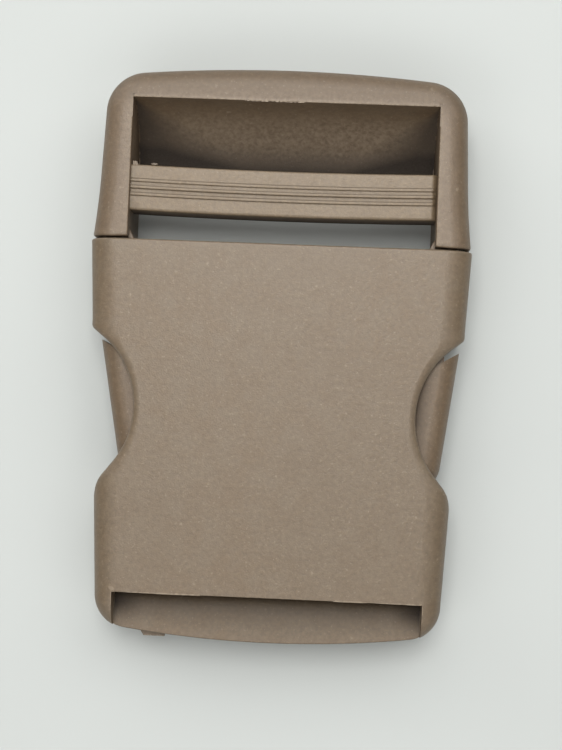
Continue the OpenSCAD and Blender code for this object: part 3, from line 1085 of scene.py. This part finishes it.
    def flash(self, skin: Skin) -> None:
        """Adds the hairlines of flash on the slot's edges.

        They lie on the rounded face: Z = thickness - front_r (1 - sqrt(1 - u^2)), with u = 1 - distance /
        front_w.

        Args:
            skin: Skin that takes the hairlines.
        """
        def on_face(x: np.ndarray, y: np.ndarray) -> np.ndarray:
            """Puts places of the plan on the front face, a little sunk in.

            Args:
                x: X of the places.
                y: Y of the places.

            Returns:
                Points by 3.
            """
            u = np.clip(1 - self.distance(np.abs(x), y) / self.front_w, 0, 1)
            z = self.thickness - self.front_r * (1 - np.sqrt(1 - u * u)) - self.flash_sink
            return np.column_stack([x, y, z])

        x = np.linspace(-self.slot_half, self.slot_half, 400)
        y = np.full_like(x, self.slot_edge_y + self.flash_out)
        skin.add_hairline(on_face(x, y), 0.26, 0.08, 11, 0.55)
        y = np.linspace(self.slot_edge_y, self.slot_edge_y - self.flash_l, 60)
        for side in (-1, 1):
            x = np.full_like(y, side * (self.slot_half + self.flash_out))
            skin.add_hairline(on_face(x, y), 0.16, 0.06, 17 + side, 0.5)

    def build(self, material: bpy.types.Material) -> None:
        """Builds and reports each piece of the half.

        Args:
            material: Finish of the half.
        """
        for name, fill in (("socket_shell", self.shell), ("socket_rim_bar", self.rim_bar),
                           ("socket_rails", self.rails), ("socket_gate_mark", self.gate_mark),
                           ("socket_flash", self.flash)):
            build_piece(name, fill, material, Half.SOCKET)


# Plug half


@dataclass
class LatchArm:
    """A springy strip and the wing at its end, which holds behind the edge of the finger scallop."""

    catch: tuple[float, float] = (30.42, 1.65)
    catch_angle: float = math.radians(29)
    wing_angle: float = math.radians(9)
    wing_l: float = 24.2
    wing_w: float = 8.8
    wing_r: float = 3.2
    inner_r: float = 4.6
    tip_thinning: float = 0.45
    strip_x: tuple[float, float] = (24.3, 27.7)
    strip_y: tuple[float, float] = (-1.0, 9.25)
    strip_inset: float = 0.5
    strip_edge_r: float = 0.2
    low: float = 2.3
    high: float = 11.7
    rest: float = 0.4
    rest_turn: float = math.radians(1.5)
    catch_wear: float = 0.4
    # Painted shade of the scallop's edge on the wing's inner side, for the left and the right wing, and the
    # band across the wing over which it comes in.
    shade: tuple[float, float] = (0.16, 0.55)
    shade_w: tuple[float, float] = (2.8, 5.7)

    def settle(self, plan: np.ndarray, side: int) -> np.ndarray:
        """Brings points drawn on the right to where they rest.

        Args:
            plan: Points of the plan, X and Y last.
            side: 1 on the right and -1 on the left.

        Returns:
            The points mirrored for the left, turned by rest_turn about the catch and moved by rest.
        """
        middle = np.array([side * self.catch[0], self.catch[1]])
        c, s = math.cos(self.rest_turn), math.sin(self.rest_turn)
        return (plan * [side, 1] - middle) @ np.array([[c, s], [-s, c]]) + middle + [self.rest, 0]

    def add(self, skin: Skin, side: int) -> None:
        """Adds the wing as a rounded section carried down from the catch, and the strip as a plate.

        A point of the section at the distance w from the outer edge starts at d = w tan(catch_angle +
        wing_angle), where the catch face cuts the wing off, and runs evenly down to the tip. Along the tip,
        for q from 0 to 1, d is straight + tip_r q, the width shrinks by k = sqrt(1 - q^2) and the height by
        1 - tip_thinning (1 - k).

        Args:
            skin: Skin that takes the arm.
            side: 1 on the right and -1 on the left.
        """
        down, into = turn(-math.pi / 2 - self.wing_angle), turn(math.pi - self.wing_angle)
        tip_r, mid = self.wing_w / 2, (self.low + self.high) / 2
        straight = self.wing_l - tip_r
        wide = self.wing_w
        box = np.array([[0, self.low], [wide, self.low], [wide, self.high], [0, self.high]], float)
        w, z = soften(box[None], [self.wing_r, self.inner_r, self.inner_r, self.wing_r], 14)[0].T
        share = np.concatenate([[0.0, 0.012], np.linspace(0.05, 1, 20)])[:, None]
        q = np.sin(np.linspace(0.06, 0.98, 14) * math.pi / 2)[:, None]
        k = np.sqrt(1 - q * q)
        cut = w * math.tan(self.catch_angle + self.wing_angle)
        d = np.concatenate([cut * (1 - share) + straight * share, straight + tip_r * q + 0 * w])
        across = np.concatenate([w + 0 * share, tip_r + (w - tip_r) * k])
        height = np.concatenate([z + 0 * share, mid + (z - mid) * (1 - self.tip_thinning * (1 - k))])
        plan = self.settle(np.array(self.catch) + d[..., None] * down + across[..., None] * into, side)
        wear_and_light = np.concatenate([[[self.catch_wear]], np.zeros((len(d) - 1, 1))])
        # Painted shade on the wing's inner side, stronger on the right wing.
        first, last = self.shade_w
        painted_shade = self.shade[int(side > 0)] * np.clip((across - first) / (last - first), 0, 1)
        skin.add_loft(np.concatenate([plan, height[..., None]], axis=2), wear_and_light, painted_shade)

        (x0, x1), (y0, y1) = self.strip_x, self.strip_y
        strip = self.settle(np.array([[x0, y0], [x1, y0], [x1, y1], [x0, y1]]), side)[::side]
        z_range = (self.low + self.strip_inset, self.high - self.strip_inset)
        skin.add_plate(strip, (self.strip_edge_r, self.strip_edge_r), z_range)


@dataclass
class PlugHalf:
    """The half that snaps in: frame with a bowed head, grip bar, base, tongue and two latch arms."""

    head_y: float = PLUG_HIGH[1]
    thickness: float = PLUG_HIGH[2]
    frame_half: float = 30.4
    taper: float = math.radians(2.2)
    slot_half: float = 25.8
    bow_r: float = 260.0
    corner_r: float = 7.0
    corner_points: int = 40
    flare: float = 0.45
    flare_l: float = 11.0
    front_r: float = 3.6
    back_r: float = 2.4
    arm_end_y: float = 19.0
    arm_end_r: float = 0.35
    window_y: float = 42.45
    window_edge_r: float = 0.2
    seam_y: float = 43.0
    head_shade: float = 0.13
    channel_r: float = 11.4
    channel_edge: float = 0.25
    deep_y: float = 37.0
    deep_l: float = 4.4
    end_shade: tuple[float, float] = (9.0, 11.0)
    lip_y: float = 31.65
    lip_r: float = 1.2
    bar_rear_y: float = 31.05
    bar_front_y: float = 23.3
    bar_foot_y: float = 27.65
    bar_step: float = 9.2
    bar_high: float = 12.6
    bar_low: float = 6.8
    bar_bow: float = 0.37
    bar_shift: float = -0.12
    ridges: tuple[tuple[float, float], ...] = ((2.68, 0.22), (3.86, 0.38), (5.05, 0.26))
    base_low: float = 2.3
    base_high: float = 11.7
    base_side: Points = ((29.7, 8.75), (30.2, 18.9), (30.2, 19.4), (25.9, 19.6), (25.8, 20.5),
                         (24.4, 17.75))
    base_edge_r: float = 0.25
    tongue_half: float = 4.0
    tongue_tip_half: float = 2.0
    tongue_tip_l: float = 3.0
    tongue_end_y: float = PLUG_LOW[1]
    tongue_root_y: float = 9.25
    tongue_edge_r: float = 0.4
    web: Points = ((-25.5, 30.8), (-25.5, 31.75), (-25.2, 31.75), (-24.95, 31.65), (-24.75, 31.2),
                   (-24.7, 30.8))
    web_low: float = 8.0
    mark_mid: tuple[float, float] = (-23.05, 33.05)
    mark_r: float = 0.62
    mark_flat: float = 0.35
    mark_z: tuple[float, float] = (1.0, 3.3)
    flash_x: tuple[float, float] = (-7.0, 3.0)
    arm: LatchArm = field(default_factory=LatchArm)

    def side_x(self, y: np.ndarray | float) -> np.ndarray | float:
        """X of the outer side of the frame at y: straight, but flared by a square towards the arm's end."""
        near = np.clip((self.arm_end_y + self.flare_l - y) / self.flare_l, 0, 1)
        return self.frame_half + (self.head_y - y) * math.tan(self.taper) + self.flare * near**2

    def frame_line(self) -> tuple[np.ndarray, ...]:
        """Right half of the frame, from the arm's end round the corner to the middle of the head.

        Returns:
            Points of the outer edge, its outward normals, the points of the inner edge across from them,
            the inset of the small rounding at the arm's end and the radius of the window's edge.
        """
        out, up = turn(self.taper), turn(self.taper + math.pi / 2)
        bow = np.array([0.0, self.head_y - self.bow_r])
        start = np.array([self.frame_half, self.head_y]) - self.corner_r * out - bow
        along = start @ up
        reach = math.sqrt(along**2 - start @ start + (self.bow_r - self.corner_r) ** 2) - along
        mid = bow + start + up * reach
        last = math.atan2(*(mid - bow)[::-1])

        ease = np.linspace(math.pi / 2, 0, 6)
        arm_y = np.concatenate([self.arm_end_y + self.arm_end_r * (1 - np.sin(ease)),
                                np.linspace(22, mid[1] - 1.2, 12)])
        corner_a = np.linspace(self.taper, last, self.corner_points)
        bow_a = np.linspace(last, math.pi / 2, 24)[1:]
        corner_n = np.column_stack([np.cos(corner_a), np.sin(corner_a)])
        bow_n = np.column_stack([np.cos(bow_a), np.sin(bow_a)])
        bow_p = bow + self.bow_r * bow_n
        arm_p = np.column_stack([self.side_x(arm_y), arm_y])
        points = np.concatenate([arm_p, mid + self.corner_r * corner_n, bow_p])
        normals = np.concatenate([np.tile(out, (len(arm_y), 1)), corner_n, bow_n])
        t = np.linspace(0, 1, self.corner_points)
        turn_x = self.slot_half + (bow_p[0, 0] - self.slot_half) * np.clip(2 * t - 1, 0, 1)
        turn_y = arm_y[-1] + (self.seam_y - arm_y[-1]) * np.clip(2 * t, 0, 1)
        inner = np.concatenate([np.column_stack([np.full(len(arm_y), self.slot_half), arm_y]),
                                np.column_stack([turn_x, turn_y]),
                                np.column_stack([bow_p[:, 0], np.full(len(bow_p), self.seam_y)])])
        inset, edge_r = np.zeros(len(points)), np.zeros(len(points))
        inset[:len(ease)] = self.arm_end_r * (1 - np.cos(ease))
        edge_r[:len(arm_y)] = self.window_edge_r
        return points, normals, inner, inset, edge_r

    def ring(self, skin: Skin) -> None:
        """Adds the frame: a rounded section carried up one arm, round the bowed head and down the other.

        At each station the outer edge is drawn in along its normal by r (1 - cos a) at the height r (1 -
        sin a) from the face, then the face runs flat to the window's edge, which has a small radius of its
        own on the arms.

        Args:
            skin: Skin that takes the frame.
        """
        points, normals, inner, inset, edge_r = self.frame_line()
        inset, edge_r = inset[:, None], edge_r[:, None]
        a, b = np.linspace(0, math.pi / 2, 16)[None], np.linspace(0, math.pi / 2, 5)[None]

        def outer(r: float) -> tuple[np.ndarray, np.ndarray]:
            """Plan points of an outer rounding of radius r, wall to face, and their depths."""
            move = inset + (r - inset) * (1 - np.cos(a))
            return points[:, None] - normals[:, None] * move[..., None], r - (r - inset) * np.sin(a)

        (front, front_deep), (back, back_deep) = outer(self.front_r), outer(self.back_r)
        across = points - inner
        across /= np.linalg.norm(across, axis=1, keepdims=True)
        edge = inner[:, None] + across[:, None] * (edge_r * (1 - np.sin(b)))[..., None]
        sunk = edge_r * (1 - np.cos(b))
        plan = np.concatenate([front, edge, edge[:, ::-1], back[:, ::-1]], axis=1)
        z = np.concatenate([self.thickness - front_deep, self.thickness - sunk - inset,
                            (sunk + inset)[:, ::-1], back_deep[:, ::-1]], axis=1)
        sections = np.concatenate([plan, z[..., None]], axis=2)
        loop = np.concatenate([sections, sections[::-1][1:] * MIRROR])
        wear_and_light = np.zeros(loop.shape[:2])
        wear_and_light[:, a.size:a.size + b.size] = 0.3
        # Painted shade darkens the head beyond Y = 40.5.
        skin.add_loft(loop, wear_and_light, self.head_shade * np.clip((loop[..., 1] - 40.5) / 2.5, 0, 1))

    def head_channel(self, skin: Skin) -> None:
        """Adds the inner side of the head: a quarter round that ends in a lip, carried along X.

        The quarter round is Z = thickness - sqrt(channel_r^2 - (Y - bar_rear_y)^2). It gets painted shade
        below deep_y and near both ends, there by 1.3 - e end_shade / depth^2 for the distance e from the
        end, and painted light across its middle.

        Args:
            skin: Skin that takes the channel.
        """
        top = self.thickness
        lip_z = top - math.sqrt(self.channel_r**2 - (self.lip_y - self.bar_rear_y) ** 2)
        start = math.atan2(lip_z - top, self.lip_y - self.bar_rear_y)
        curve = arc(np.array([self.bar_rear_y, top]), self.channel_r, start, -0.03, 48)
        corners = np.concatenate([[[self.lip_y, 0.0]], curve,
                                  [[self.window_y, top], [self.seam_y, top], [self.seam_y, 0.0]]])
        radii = [self.lip_r, 0.25] + [0.0] * (len(curve) - 1) + [0.12, 0.0, 0.0]
        y, z = soften(corners[None], radii, 7)[0].T
        half = np.concatenate([np.linspace(0, 12, 7)[:-1], np.linspace(12, self.slot_half, 56)])
        x = mirrored(half)
        near_edge = np.clip((z - top + self.channel_edge) / self.channel_edge, 0, 1)
        near_edge *= y < self.window_y + 0.5
        # Painted shade below deep_y, where the channel sinks towards the bar.
        inside = y < 42
        deep_shade = (np.clip((self.deep_y - y) / self.deep_l, 0, 1) ** 1.1) * inside
        # Painted light across the channel's middle, added to the real wear at the window's edge.
        light = smooth_curve(y, [(34, 0), (36, 0.5), (38.5, 0.6), (40.5, 0.35), (41.8, 0)]) * inside
        # Painted shade near both ends, wider where the channel is deeper, standing in for the arms' shadow.
        depth = np.clip(top - z, 0.5, None)
        reach = np.where(x < 0, *self.end_shade)[:, None]
        end = np.clip(1.3 - (self.slot_half - np.abs(x))[:, None] / (depth**2 / reach), 0, 1)
        wear_and_light = 0.6 * near_edge + light * (1 - end)
        skin.add_loft(carry(x, y, z), wear_and_light, np.clip(0.92 * deep_shade + 0.7 * end, 0, 0.97))

    def grip_bar(self, skin: Skin) -> None:
        """Adds the ribbed bar: one section with three ridges, carried along X and bowed towards the mouth.

        The bow moves a section along Y by bar_bow (X / slot_half)^2 + bar_shift. Towards the right end, the
        ridges run out by the factor clip(e / 0.4, 0, 1), where e is the distance from X = 25.6, and the top
        drops by 0.7 times the square of clip((X - 24.9) / 0.9, 0, 1).

        Args:
            skin: Skin that takes the bar.
        """
        high = self.bar_high
        rear = self.bar_rear_y
        corners = [(self.bar_foot_y, self.bar_low), (rear, self.bar_step), (rear, high)]
        radii = [0.3, 0.3, 0.35]
        ridge_y = [self.bar_rear_y - behind for behind, _ in self.ridges]
        for y, (_, rise) in zip(ridge_y, self.ridges):
            corners += [(y + 0.42, high), (y + 0.3, high), (y + 0.2, high + rise), (y - 0.2, high + rise),
                        (y - 0.3, high), (y - 0.42, high)]
            radii += [0.0, 0.06, 0.08, 0.08, 0.06, 0.0]
        corners += [(self.bar_front_y, high), (self.bar_front_y, self.bar_low)]
        radii += [0.45, 0.3]
        y, z = soften(np.array(corners)[None], radii, 5)[0].T
        half = np.concatenate([np.linspace(0, 24, 17)[:-1], np.linspace(24, self.slot_half, 15)])
        x = mirrored(half)[:, None]
        shift = self.bar_bow * (x / self.slot_half) ** 2 + self.bar_shift
        keep = np.clip((25.6 - x) / 0.4, 0, 1)
        fall = 0.7 * np.clip((x - 24.9) / 0.9, 0, 1) ** 2
        flat = np.minimum(z, high)
        height = flat + np.clip(z - high, 0, None) * keep - fall * np.clip((z - 10) / 2, 0, 1)
        # Painted shade on the front wall below the top and in the creases on both sides of each ridge.
        front_wall = np.clip((high - 0.3 - z) / 0.3, 0, 1)
        away = y[:, None] - np.array(ridge_y)[None]
        crease_shade = 0.5 * np.exp(-((away - 0.29) / 0.06) ** 2) + 0.3 * np.exp(-((away + 0.29) / 0.06) ** 2)
        painted_shade = np.clip(0.95 * front_wall + crease_shade.sum(axis=1), 0, 1)
        skin.add_loft(carry(x[:, 0], y + shift, height), 0.0, painted_shade[None])

    def base(self, skin: Skin) -> None:
        """Adds the block that closes the frame inside the socket's mouth, with a gusset at each arm.

        Args:
            skin: Skin that takes the block.
        """
        right = np.array(self.base_side)
        outline = np.concatenate([right, right[::-1] * [-1.0, 1.0]])
        skin.add_plate(outline, (self.base_edge_r, self.base_edge_r), (self.base_low, self.base_high))

    def tongue(self, skin: Skin) -> None:
        """Adds the straight tongue between the rails, narrowed at its end.

        Args:
            skin: Skin that takes the tongue.
        """
        narrow_y = self.tongue_end_y + self.tongue_tip_l
        left = np.array([[-self.tongue_half, self.tongue_root_y], [-self.tongue_half, narrow_y],
                         [-self.tongue_tip_half, self.tongue_end_y]])
        outline = np.concatenate([left, left[::-1] * [-1.0, 1.0]])
        skin.add_plate(outline, (self.tongue_edge_r, self.tongue_edge_r), (self.base_low, self.base_high))

    def marks(self, skin: Skin) -> None:
        """Adds the corner web at the bar's left end, an ejector mark and the flash on the window's edge.

        The web's outline runs clockwise, so its front edge flares out instead of in.

        Args:
            skin: Skin that takes the marks.
        """
        skin.add_plate(np.array(self.web), (0.0, 0.1), (self.web_low, self.bar_high - 0.1), wear_and_light=0.5)
        disc = arc(np.zeros(2), self.mark_r, 0.0, 2 * math.pi, 33)[:-1] * [1.0, self.mark_flat]
        skin.add_plate(np.array(self.mark_mid) + disc, (0.0, 0.08), self.mark_z, wear_and_light=0.8)
        x = np.linspace(*self.flash_x, 120)
        edge = [x, np.full_like(x, self.window_y - 0.03), np.full_like(x, self.thickness - 0.05)]
        skin.add_hairline(np.column_stack(edge), 0.22, 0.08, 23, 0.2)

    def build(self, material: bpy.types.Material, bar_material: bpy.types.Material) -> None:
        """Builds and reports each piece of the half.

        Args:
            material: Finish of the half.
            bar_material: Finish of the grip bar, which is a little paler.
        """
        for name, fill, finish in (("plug_frame", self.ring, material),
                                   ("plug_head_channel", self.head_channel, material),
                                   ("plug_grip_bar", self.grip_bar, bar_material),
                                   ("plug_base", self.base, material),
                                   ("plug_tongue", self.tongue, material),
                                   ("plug_marks", self.marks, material),
                                   ("plug_wing_left", partial(self.arm.add, side=-1), material),
                                   ("plug_wing_right", partial(self.arm.add, side=1), material)):
            build_piece(name, fill, finish, Half.PLUG)


# Studio


@dataclass(frozen=True)
class Lamp:
    """Square soft light that faces the object, with angles in degrees and lengths in metres.

    Its azimuth runs from +X towards +Y, and its height is the angle above the floor.
    """

    name: str
    azimuth: float
    height: float
    size: float
    watts: float
    reach: float = 0.7
    colour: Colour = (1.0, 0.995, 0.98)

    def build(self) -> None:
        """Adds the light, reach metres away from the origin."""
        data = bpy.data.lights.new(self.name, "AREA")
        data.shape, data.size = "SQUARE", self.size
        data.energy, data.color = self.watts, self.colour
        lamp = bpy.data.objects.new(self.name, data)
        bpy.context.scene.collection.objects.link(lamp)
        flat, up = turn(math.radians(self.azimuth)), turn(math.radians(self.height))
        lamp.location = self.reach * Vector((up[0] * flat[0], up[0] * flat[1], up[1]))
        lamp.rotation_euler = (-lamp.location).to_track_quat("-Z", "Y").to_euler()


@dataclass(frozen=True)
class Studio:
    """Camera at the photograph's angle, pale floor and soft light from all sides, mostly from above."""

    focal_px: float = 1477.92
    width_px: float = 562.0
    sensor: float = 36.0
    distance: float = 260.12
    shift: tuple[float, float] = (-0.39, 2.89)
    turns: tuple[float, float, float] = (-2.19, -1.73, -2.29)
    floor_reach: float = 3000.0
    floor_z: float = -0.02
    floor_points: int = 9
    air: Colour = (0.95, 0.98, 1.0)
    air_light: float = 0.003
    lamps: tuple[Lamp, ...] = (
        Lamp("ceiling light", 97, 74, 0.3, 2.8), Lamp("high left light", 240, 62, 0.5, 0.6),
        Lamp("right window", 45, 40, 0.5, 1.7), Lamp("head window", 90, 42, 0.5, 1.55),
        Lamp("left window", 135, 40, 0.5, 0.9), Lamp("left wall", 225, 38, 0.5, 1.25),
        Lamp("room wall", 270, 38, 0.5, 1.0), Lamp("right wall", 315, 38, 0.5, 1.1),
        Lamp("low window", 135, 16, 0.5, 1.25))

    def camera(self) -> None:
        """Places the camera, turned by the transpose of Rz Ry Rx, at that times (-shift, distance)."""
        rot = Matrix.Identity(3)
        for angle, axis in zip(self.turns, "XYZ"):
            rot = Matrix.Rotation(math.radians(angle), 3, axis) @ rot
        back = rot.transposed()
        data = bpy.data.cameras.new("camera")
        data.sensor_fit, data.sensor_width = "HORIZONTAL", self.sensor
        data.lens = self.sensor * self.focal_px / self.width_px
        data.clip_start, data.clip_end = 0.01, 10.0
        eye = bpy.data.objects.new("camera", data)
        bpy.context.scene.collection.objects.link(eye)
        place = back @ Vector((-self.shift[0], -self.shift[1], self.distance)) * MM
        eye.matrix_world = Matrix.Translation(place) @ back.to_4x4()
        bpy.context.scene.camera = eye

    def floor(self) -> None:
        """Adds the floor, a flat grid just below Z = 0."""
        u = np.linspace(-self.floor_reach, self.floor_reach, self.floor_points) * MM
        x, y = np.meshgrid(u, u)
        points = np.stack([x, y, np.full_like(x, self.floor_z * MM)], axis=2).reshape(-1, 3)
        mesh = bpy.data.meshes.new("floor")
        mesh.from_pydata(points.tolist(), [], grid_faces(np.arange(x.size).reshape(x.shape)).tolist())
        mesh.materials.append(PalePaper().material())
        ground = bpy.data.objects.new("floor", mesh)
        bpy.context.scene.collection.objects.link(ground)

    def build(self) -> None:
        """Builds the camera, the floor, the lights and the background."""
        self.camera()
        self.floor()
        for lamp in self.lamps:
            lamp.build()
        world = bpy.data.worlds.new("room")
        world.use_nodes = True
        background = world.node_tree.nodes["Background"]
        background.inputs["Color"].default_value = (*self.air, 1.0)
        background.inputs["Strength"].default_value = self.air_light
        bpy.context.scene.world = world
        bpy.context.scene.view_settings.view_transform = "Standard"
        log.info("studio: camera, floor and %d soft lights", len(self.lamps))


def main() -> None:
    """Builds the two halves and the studio."""
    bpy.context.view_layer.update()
    tan = MouldedPlastic("socket plastic")
    brown = MouldedPlastic("plug plastic", base=(0.116, 0.075, 0.041), cool=(0.110, 0.075, 0.044))
    light = MouldedPlastic("grip plastic", base=(0.145, 0.100, 0.055), cool=(0.138, 0.100, 0.060))
    SocketHalf().build(tan.material())
    PlugHalf().build(brown.material(), light.material())
    Studio().build()


if __name__ == "__main__":
    main()
